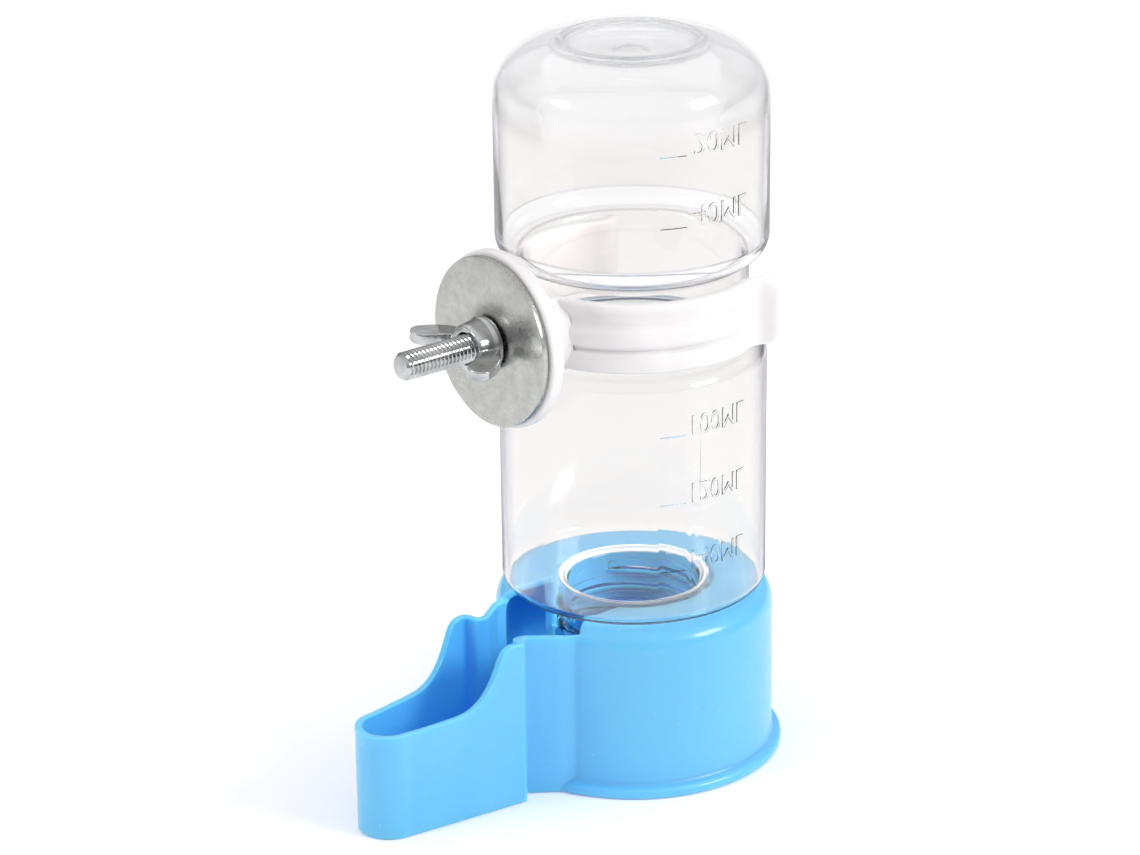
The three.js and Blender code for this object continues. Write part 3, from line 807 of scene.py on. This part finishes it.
def base_housing():
    """The blue moulding: its outer and inner face, joined along the rim and round the foot."""
    rows, below = housing_rows()
    outer, first, round_count = housing_face(rows, below, inner=False)
    inner, _, _ = housing_face(rows, below, inner=True)
    verts, index = [], {}
    for face, columns in (("o", outer), ("i", inner)):
        for c, column in enumerate(columns):
            for k, point in enumerate(column):
                index[face, c, k] = len(verts)
                verts.append(point)
    faces = []
    count = len(outer)
    for face in "oi":
        for c in range(count):
            n = (c + 1) % count
            height = min(len(outer[c]), len(outer[n]))
            for k in range(height - 1):
                corners = ((c, k), (n, k), (n, k + 1), (c, k + 1))
                faces.append([index[face, *corner] for corner in corners])
    top = below - 1
    rim = [(c, top) for c in range(first)]
    rim += [(first, k) for k in range(top, len(rows))]
    rim += [(c, len(rows) - 1) for c in range(first + 1, first + round_count)]
    rim += [(first + round_count - 1, k) for k in range(len(rows) - 2, top - 1, -1)]
    rim += [(c, top) for c in range(first + round_count, count)]
    foot = [(c, 0) for c in range(count)]
    for loop in (rim, foot):
        for a, b in zip(loop, loop[1:] + loop[:1]):
            faces.append([index["o", *a], index["o", *b], index["i", *b], index["i", *a]])
    return subdivide(new_object("base_housing_shell", verts, faces), 2)


def base_collar():
    """The threaded sleeve under the roof, open towards the channel."""
    start = math.degrees(math.asin(CHANNEL_HALF / HOLE_R)) + 1
    rings = []
    steps = 96
    for i in range(steps + 1):
        angle = math.radians(-90 + start + (360 - 2 * start) * i / steps)
        section = [
            (HOLE_R, COLLAR_FOOT_Z + 0.3),
            (HOLE_R + 0.3, COLLAR_FOOT_Z),
            (COLLAR_R - 0.3, COLLAR_FOOT_Z),
            (COLLAR_R, COLLAR_FOOT_Z + 0.3),
            (COLLAR_R, COLLAR_TOP_Z),
            (HOLE_R, COLLAR_TOP_Z),
        ]
        rings.append([(r * math.cos(angle), r * math.sin(angle), z) for r, z in section])
    collar = swept("base_collar", rings)
    rib_top_z = NECK_RIB_TOP_Z - PITCH / 2
    rib = thread_rib(HOLE_R + 0.5, 12.95, 0.5, 0.25, COLLAR_RIB_TURNS, rib_top_z)
    combine(collar, rib, "UNION")
    half = CHANNEL_HALF + 0.05
    slot = [(-half, 0), (half, 0), (half, -TROUGH_ROOT), (-half, -TROUGH_ROOT)]
    return combine(collar, prism("slot", slot, COLLAR_FOOT_Z - 10, ROOF_Z + 10), "DIFFERENCE")


def floor_outline(inset):
    """Plan of the floor plate: the chamber's circle and the trough's tongue."""
    radius = BASE_R - inset
    share = inset / WALL
    right = []
    for (x0, y0), (x1, y1), _ in trough_side():
        right.append((x0 + (x1 - x0) * share, y0 + (y1 - y0) * share))
    join = math.asin((throat_meets(BASE_R - WALL, True)[0] + WALL - inset) / radius)
    steps = 120
    outline = []
    for i in range(steps + 1):
        angle = -math.pi / 2 + join + (2 * math.pi - 2 * join) * i / steps
        outline.append((radius * math.cos(angle), radius * math.sin(angle)))
    left = [(-x, y) for x, y in reversed(right)]
    return outline + left + right[1:]


def base_floor():
    """The plate in the underside, its lower edge chamfered."""
    inset = WALL + GAP
    chamfer = 0.25
    rings = []
    for extra, z in ((chamfer, 0.0), (0.0, chamfer), (0.0, FLOOR_HIGH.z)):
        rings.append([(x, y, z) for x, y in floor_outline(inset + extra)])
    return swept("base_floor_plate", rings)


# ---- bottle ----------------------------------------------------------------------------------


def waist_bend(body_r, corner_r, corner_z, sweep, up, inset):
    """From a body's side into the waist: a convex corner, then a hollow one. The inner face
    fills the corner a little, so that the wall is thickest there."""
    bend = math.radians(sweep)
    reach = body_r - corner_r * (1 - math.cos(bend))
    hollow_r = (reach - WAIST_R) / (1 - math.cos(bend))
    hollow_z = corner_z + up * (corner_r + hollow_r) * math.sin(bend)
    corner = []
    steps = 10
    for i in range(steps + 1):
        thick = inset and inset + CORNER_FILL * math.sin(math.pi * i / steps)
        corner.append(on_circle(body_r - corner_r, 0, corner_r - thick, sweep * i / steps))
    hollow = arc(WAIST_R + hollow_r, 0, hollow_r + inset, 180 - sweep, 180, 8)
    points = [(x, corner_z + up * y) for x, y in corner]
    return points + [(x, hollow_z - up * y) for x, y in hollow]


def bottle_face(inset):
    """One face of the wall, from the middle of the top down to the shoulder's corner."""
    dimple = [(0, TOP_Z - 1.7), (1.2, TOP_Z - 1.75), (2.1, TOP_Z - 2.1), (2.9, TOP_Z - 2.45)]
    dimple += [(5.0, TOP_Z - 2.4), (7.6, TOP_Z - 2.2), (9.6, TOP_Z - 1.9)]
    inside, crest = (11.3, TOP_Z - 0.4), (12.5, TOP_Z - 0.3)
    ring = bezier(dimple[-1], (10.6, TOP_Z - 1.7), (10.9, TOP_Z - 0.9), inside, 5)[1:]
    ring += bezier(inside, (11.7, TOP_Z), (12.2, TOP_Z), crest, 5)[1:]
    ring += [(12.8, TOP_Z - 0.55), (13.5, CROWN_TOP_Z)]
    points = [(x, z - inset) for x, z in dimple + ring]
    points += arc(BODY_R - CROWN_R, CROWN_TOP_Z - CROWN_R, CROWN_R - inset, 88, 0, 22)
    points += waist_bend(BODY_R, *UPPER_BEND, -1, inset)
    points += reversed(waist_bend(LOWER_R, *LOWER_BEND, 1, inset))
    points += arc(LOWER_R - SHOULDER_R, SHOULDER_Z + SHOULDER_R, SHOULDER_R - inset, 0, -90, 8)
    return points


def tick_mark(radius, tick_z):
    """A short level rib on the wall, beside the volume."""
    rings = []
    steps = 8
    for i in range(steps + 1):
        angle = math.radians(TICK_ANGLE + TICK_SWEEP * i / steps)
        section = [(-MARK_SUNK, -0.25), (MARK_RAISED, -0.1), (MARK_RAISED, 0.1), (-MARK_SUNK, 0.25)]
        rings.append([
            ((radius + dr) * math.cos(angle), (radius + dr) * math.sin(angle), tick_z + dz)
            for dr, dz in section
        ])
    return swept("tick", rings)


def volume_mark(radius, tick_z, text):
    """A volume in raised strokes, flipped top to bottom as on the real bottle."""
    curve = bpy.data.curves.new("numerals", "FONT")
    curve.body = text
    curve.size = TEXT_SIZE
    curve.offset = -0.05
    curve.extrude = (MARK_RAISED + MARK_SUNK) / 2
    curve.resolution_u = 4
    written = bpy.data.objects.new("numerals", curve)
    bpy.context.scene.collection.objects.link(written)
    bpy.context.view_layer.update()
    shaped = written.evaluated_get(bpy.context.evaluated_depsgraph_get())
    mesh = bpy.data.meshes.new_from_object(shaped)
    bpy.data.objects.remove(written)
    left = min(v.co.x for v in mesh.vertices)
    right = max(v.co.x for v in mesh.vertices)
    top = max(v.co.y for v in mesh.vertices)
    verts = []
    for vertex in mesh.vertices:
        x, y, depth = vertex.co
        angle = math.radians(TEXT_END_ANGLE) - (right - x) / (right - left) * TEXT_WIDTH / radius
        r = radius + depth + (MARK_RAISED - MARK_SUNK) / 2
        verts.append((r * math.cos(angle), r * math.sin(angle), tick_z + top - y))
    return new_object("numerals", verts, [p.vertices[:] for p in mesh.polygons])


def bottle():
    """The blown wall with its neck, thread and volume marks, which skip the waist."""
    mouth_z, bore_r = MOUTH_Z, NECK_BORE_R
    profile = bottle_face(0)
    profile += arc(NECK_R + NECK_ROOT_R, SHOULDER_Z - NECK_ROOT_R, NECK_ROOT_R, 90, 180, 5)
    profile += [(NECK_R, mouth_z + 0.4), (NECK_R - 0.15, mouth_z + 0.1), (NECK_R - 0.4, mouth_z)]
    profile += [(bore_r + 0.4, mouth_z), (bore_r + 0.1, mouth_z + 0.15), (bore_r, mouth_z + 0.5)]
    profile += [(bore_r, 20), (bore_r, 25)]
    root_z = SHOULDER_Z + BOTTLE_WALL - BORE_ROOT_R
    profile += arc(bore_r + BORE_ROOT_R, root_z, BORE_ROOT_R, 180, 90, 8)
    profile += reversed(bottle_face(BOTTLE_WALL))
    body = turned("bottle_body", profile, 144)
    rib = thread_rib(NECK_R - 0.3, 13.7, 1.0, 0.6, NECK_RIB_TURNS, NECK_RIB_TOP_Z)
    combine(body, rib, "UNION")
    for step in range(MARK_COUNT):
        tick_z = FIRST_MARK_Z - MARK_SPACING * step
        if WAIST_LOW < tick_z < WAIST_HIGH:
            continue
        radius = LOWER_R if tick_z < WAIST_LOW else BODY_R
        combine(body, tick_mark(radius, tick_z), "UNION")
        text = f"{ML_PER_MARK * (step + 1)}ML"
        combine(body, volume_mark(radius, tick_z, text), "UNION")
    return body


# ---- clip ------------------------------------------------------------------------------------


def clip_ring(place_xy, normal, plainness, shrink):
    """One section of the band. plainness is 0 on the ribbed band and 1 on a flat lip; shrink
    takes the lip's top and bottom in, to round its corners."""
    middle = (BAND_LOW + BAND_HIGH) / 2
    half = (BAND_HIGH - BAND_LOW) / 2
    edge = 0.25
    ring = []
    for offset, z in BAND_SECTION:
        if offset == 0:
            flat = 0.0
        elif half - abs(z - middle) < edge:
            flat = min(offset, LIP_T)
        else:
            flat = LIP_T
        depth = offset + (flat - offset) * plainness
        height = middle + (z - middle) * (half - shrink) / half
        ring.append((place_xy[0] + normal[0] * depth, place_xy[1] + normal[1] * depth, height))
    return ring


def lip_ring(share):
    """One section of the right-hand lip, from 0 at the band's end to 1 at the lip's own end. The
    lip bends outwards first and then runs straight, and its corners are rounded."""
    end = math.radians(-90 + BAND_HALF_ANGLE)
    radial = (math.cos(end), math.sin(end))
    ahead = (-radial[1], radial[0])
    bend = LIP_BEND_R * math.radians(LIP_SWEEP)
    length = bend + LIP_END
    sweep = min(length * share / LIP_BEND_R, math.radians(LIP_SWEEP))
    straight = max(0.0, length * share - bend)
    into_corner = max(0.0, LIP_CORNER - length * (1 - share))
    shrink = LIP_CORNER - math.sqrt(max(0.0, LIP_CORNER**2 - into_corner**2))
    centre_r = CLIP_BORE_R + LIP_BEND_R
    across = (-math.cos(sweep), math.sin(sweep))
    direction = tuple(across[0] * radial[k] + across[1] * ahead[k] for k in (0, 1))
    onwards = (math.sin(sweep) * straight, math.cos(sweep) * straight)
    place_xy = tuple(
        (centre_r + onwards[0]) * radial[k] + LIP_BEND_R * direction[k] + onwards[1] * ahead[k]
        for k in (0, 1)
    )
    normal = (-direction[0], -direction[1])
    return clip_ring(place_xy, normal, 1.0, min(shrink, LIP_CORNER * 0.97))


def clip_band():
    """The C-shaped band with a lip bent outwards at each end."""
    plain_from, plain_over = 0.93, 0.055
    rings = []
    steps = 64
    for i in range(steps + 1):
        share = -1 + 2 * i / steps
        angle = math.radians(-90 + BAND_HALF_ANGLE * share)
        normal = (math.cos(angle), math.sin(angle))
        plainness = min(1.0, max(0.0, (abs(share) - plain_from) / plain_over))
        start = (CLIP_BORE_R * normal[0], CLIP_BORE_R * normal[1])
        rings.append(clip_ring(start, normal, plainness, 0.0))
    lip = [lip_ring(share) for share in LIP_SHARES]
    mirrored = [[(-x, y, z) for x, y, z in ring] for ring in reversed(lip)]
    return subdivide(swept("clip_body", mirrored + rings + lip), 2)


def bottle_space():
    """What the clip has to stay clear of: the bottle's waist and the bodies above and below."""
    wide = BODY_R + 2 * GAP
    low, high = BAND_LOW - 12, BAND_HIGH + 12
    profile = [(0, low), (wide, low), (wide, BAND_LOW), (CLIP_BORE_R, BAND_LOW)]
    profile += [(CLIP_BORE_R, BAND_HIGH), (wide, BAND_HIGH), (wide, high), (0, high)]
    return turned("space", profile, 144)


def clip():
    """Band, boss and pad in one, with the pocket for the bolt's head and the hole behind it."""
    body = clip_band()
    boss = [(0, 20.8), (9.4, 20.8), (9.0, 23.0), (8.6, 24.6), (8.7, 25.6)]
    boss += [(9.2, 26.4), (10.2, 27.0), (10.4, 28), (0, 28)]
    boss = along_bolt(turned("boss", boss, 96))
    combine(boss, bottle_space(), "DIFFERENCE")
    back, front = PAD_FRONT - PAD_T, PAD_FRONT
    back_round, front_round = 1.3, 0.7
    pad = [(0, back + 0.2), (PAD_R - 3.2, back + 0.2), (PAD_R - 2.4, back)]
    pad += arc(PAD_R - back_round, back + back_round, back_round, -90, 0, 7)
    pad += arc(PAD_R - front_round, front - front_round, front_round, 0, 90, 5)
    pad += [(0, front)]
    pad = along_bolt(turned("pad", pad, 128))
    combine(boss, pad, "UNION")
    combine(body, boss, "UNION")
    pocket_r = hexagon_corner(HEAD_HALF + GAP)
    seat = BOLT_HEAD + HEAD_T + GAP
    pocket = [(0, 10), (pocket_r, 10), (pocket_r, seat), (0, seat)]
    combine(body, along_bolt(turned("pocket", pocket, 6)), "DIFFERENCE")
    hole = [(0, seat - 1), (M5_R + GAP, seat - 1), (M5_R + GAP, front + 2), (0, front + 2)]
    return combine(body, along_bolt(turned("hole", hole, 48)), "DIFFERENCE")


# ---- clamp hardware ----------------------------------------------------------------------------


def thread_depth(phase):
    """0 at the crest and 1 at the root of a 60 degree thread, for a phase of 0 to 1."""
    away = abs(phase - 0.5) * 2
    return min(1.0, max(0.0, (0.88 - away) / 0.62))


def clamp_bolt():
    """Hexagon head and a real M5 thread, its end chamfered."""
    head_top = BOLT_HEAD + HEAD_T
    buried, plain_length = 0.4, 2.0
    end_r, end_slope = 1.85, 0.9
    around = 48
    step = M5_PITCH / 10
    rows = int((BOLT_TIP - head_top + buried) / step)
    rings = []
    for i in range(rows + 1):
        z = min(BOLT_TIP, head_top - buried + i * step)
        cone = end_r + (BOLT_TIP - z) * end_slope
        plain = z < head_top + plain_length
        ring = []
        for k in range(around):
            share = k / around
            depth = 0.0 if plain else thread_depth((z / M5_PITCH - share) % 1.0)
            r = min(cone, M5_R - (M5_R - M5_ROOT_R) * depth)
            ring.append((r * math.cos(2 * math.pi * share), r * math.sin(2 * math.pi * share), z))
        rings.append(ring)
    shank = swept("clamp_bolt", rings)
    corner = hexagon_corner(HEAD_HALF)
    head = turned("head", [(0, BOLT_HEAD), (corner, BOLT_HEAD), (corner, head_top), (0, head_top)], 6)
    rounding = [(0, BOLT_HEAD - 1), (3.4, BOLT_HEAD - 1), (3.9, BOLT_HEAD), (4.9, BOLT_HEAD + 0.6)]
    rounding += [(4.9, head_top + 1), (0, head_top + 1)]
    combine(head, turned("rounding", rounding, 64), "INTERSECT")
    combine(shank, head, "UNION")
    return along_bolt(shank)


def clamp_washer():
    """A penny washer with a stamped edge: rounded behind, nearly sharp in front."""
    low, high = PAD_FRONT + GAP, -WASHER_LOW.y
    hole = M5_R + GAP
    profile = [(hole + 0.1, low), (WASHER_R - 0.35, low), (WASHER_R - 0.12, low + 0.06)]
    profile += [(WASHER_R, low + 0.25), (WASHER_R, high - 0.15), (WASHER_R - 0.05, high - 0.04)]
    profile += [(WASHER_R - 0.16, high), (hole + 0.25, high), (hole + 0.06, high - 0.06)]
    profile += [(hole, high - 0.25), (hole, low + 0.1)]
    return along_bolt(turned("clamp_washer", profile, 160))


def wing(side):
    """One wing: a plate in the plane of the bolt, thinner towards its rounded tip."""
    outline = [(2.9, 0.5), (4.4, 0.9), (5.6, 1.6)]
    outline += bezier((5.6, 1.6), (7.6, 2.7), (8.9, 4.4), (9.6, 6.4), 6)[1:]
    outline += arc(7.9, 7.7, 2.1, -30, 140, 9)
    outline += bezier((6.3, 9.05), (5.5, 7.6), (5.0, 6.0), (3.8, 4.6), 5)[1:]
    outline += [(2.9, 4.6)]
    root_half, thinning = 1.25, 0.045
    rings = []
    for sign in (-1, 1):
        ring = []
        for x, z in outline:
            half = root_half - thinning * x
            ring.append((side * x, sign * half, z))
        rings.append(ring)
    return swept("wing", rings)


def clamp_wing_nut():
    """A cast wing nut: hub and wings remeshed into one, so that their joins are soft."""
    bore_r = M5_R + 0.28
    hub = [(0, 0), (4.55, 0), (4.8, 0.25), (4.8, 1.0), (4.5, 1.5), (4.1, 4.2), (3.8, 4.6), (0, 4.6)]
    nut = turned("clamp_wing_nut", hub, 96)
    combine(nut, wing(1), "UNION")
    combine(nut, wing(-1), "UNION")
    bore = [(0, -1), (3.2, -1), (bore_r, 0.4), (bore_r, 4.2), (3.1, 5.2), (0, 5.2)]
    combine(nut, turned("bore", bore, 64), "DIFFERENCE")
    remesh = nut.modifiers.new("cast", "REMESH")
    remesh.mode = "VOXEL"
    remesh.voxel_size = 0.13
    soften = nut.modifiers.new("soften", "SMOOTH")
    soften.factor = 0.5
    soften.iterations = 7
    settle(nut)
    turn = Matrix.Rotation(math.radians(NUT_TURN), 4, "Z")
    nut.data.transform(Matrix.Translation((0, 0, NUT_FOOT)) @ turn)
    return along_bolt(nut)


# ---- camera, floor and light ---------------------------------------------------------------------


def towards(azimuth, elevation):
    """Direction from the bottle to a place round it. Azimuth runs from -Y to +X."""
    a, e = math.radians(azimuth), math.radians(elevation)
    return Vector((math.sin(a) * math.cos(e), -math.cos(a) * math.cos(e), math.sin(e)))


def camera():
    """The photograph's view, slightly rolled and a little aside of the bottle's axis."""
    a, roll = math.radians(VIEW_AZIMUTH), math.radians(VIEW_ROLL)
    right = Vector((math.cos(a), math.sin(a), 0))
    back = towards(VIEW_AZIMUTH, VIEW_ELEVATION)
    up = back.cross(right)
    turned_right = math.cos(roll) * right + math.sin(roll) * up
    turned_up = -math.sin(roll) * right + math.cos(roll) * up
    place_at = Vector((0, 0, VIEW_TARGET_Z)) + VIEW_ASIDE * right + VIEW_DISTANCE * back
    data = bpy.data.cameras.new("camera")
    data.lens = LENS_MM
    data.sensor_width = 36
    data.clip_start, data.clip_end = 0.01, 50
    obj = bpy.data.objects.new("camera", data)
    turn = Matrix((turned_right, turned_up, back)).transposed().to_4x4()
    obj.matrix_world = Matrix.Translation(place_at) @ turn
    bpy.context.scene.collection.objects.link(obj)
    bpy.context.scene.camera = obj


def softbox(name, aside, size, power):
    """An area lamp that looks at the bottle, a number of degrees aside of the camera."""
    back = towards(VIEW_AZIMUTH + aside, LAMP_ELEVATION)
    data = bpy.data.lights.new(name, "AREA")
    data.shape = "RECTANGLE"
    data.size, data.size_y = size
    data.energy = power
    obj = bpy.data.objects.new(name, data)
    obj.location = Vector((0, 0, LAMP_TARGET_Z)) + back * LAMP_DISTANCE
    obj.rotation_mode = "QUATERNION"
    obj.rotation_quaternion = back.to_track_quat("Z", "Y")
    bpy.context.scene.collection.objects.link(obj)


def world():
    """Soft studio light: white overhead and darker down to the horizon, which draws the edges of
    the clear bottle and gives the metal something to reflect."""
    space = bpy.data.worlds.new("studio")
    bpy.context.scene.world = space
    space.use_nodes = True
    tree = space.node_tree
    coords = tree.nodes.new("ShaderNodeTexCoord")
    split = tree.nodes.new("ShaderNodeSeparateXYZ")
    tree.links.new(coords.outputs["Generated"], split.inputs["Vector"])
    shade = tree.nodes.new("ShaderNodeValToRGB")
    stops = shade.color_ramp.elements
    stops[0].position, stops[0].color = 0.0, (0.16, 0.16, 0.18, 1)
    stops[1].position, stops[1].color = 0.8, (1, 1, 1, 1)
    stops.new(0.3).color = (0.55, 0.55, 0.56, 1)
    tree.links.new(split.outputs["Z"], shade.inputs["Fac"])
    background = tree.nodes["Background"]
    background.inputs["Strength"].default_value = 1.0
    tree.links.new(shade.outputs["Color"], background.inputs["Color"])


def floor():
    """A pale floor just under the base, in metres. It glows faintly, to come out near white."""
    size, z = 6.0, -0.0001
    corners = [(-size, -size, z), (size, -size, z), (size, size, z), (-size, size, z)]
    mesh = bpy.data.meshes.new("floor")
    mesh.from_pydata(corners, [], [(0, 1, 2, 3)])
    obj = bpy.data.objects.new("floor", mesh)
    bpy.context.scene.collection.objects.link(obj)
    material, _, shader = nodes_of("pale_floor")
    shader.inputs["Base Color"].default_value = (0.93, 0.93, 0.93, 1)
    shader.inputs["Roughness"].default_value = 0.6
    shader.inputs["Specular IOR Level"].default_value = 0.2
    shader.inputs["Emission Color"].default_value = (1, 1, 1, 1)
    shader.inputs["Emission Strength"].default_value = 0.12
    mesh.materials.append(material)


bpy.context.scene.view_settings.view_transform = "Standard"
camera()
floor()
world()
softbox("left", -66, (0.2, 0.18), 1.6)
softbox("right", 65, (0.34, 0.24), 4.0)

place(base_housing(), "base", "blue_plastic", BLUE, "base_housing")
place(base_collar(), "base", "blue_plastic", BLUE)
place(base_floor(), "base", "blue_plastic", BLUE, "base_floor")
place(bottle(), "bottle", "clear_plastic", CLEAR, "bottle")
place(clip(), "clip", "white_plastic", WHITE, "clip")
place(clamp_bolt(), "clip", "nickel_steel", THREADED, "bolt")
place(clamp_washer(), "washer", "zinc_steel", ZINC, "washer")
place(clamp_wing_nut(), "wing_nut", "nickel_steel", CAST, "wing_nut")
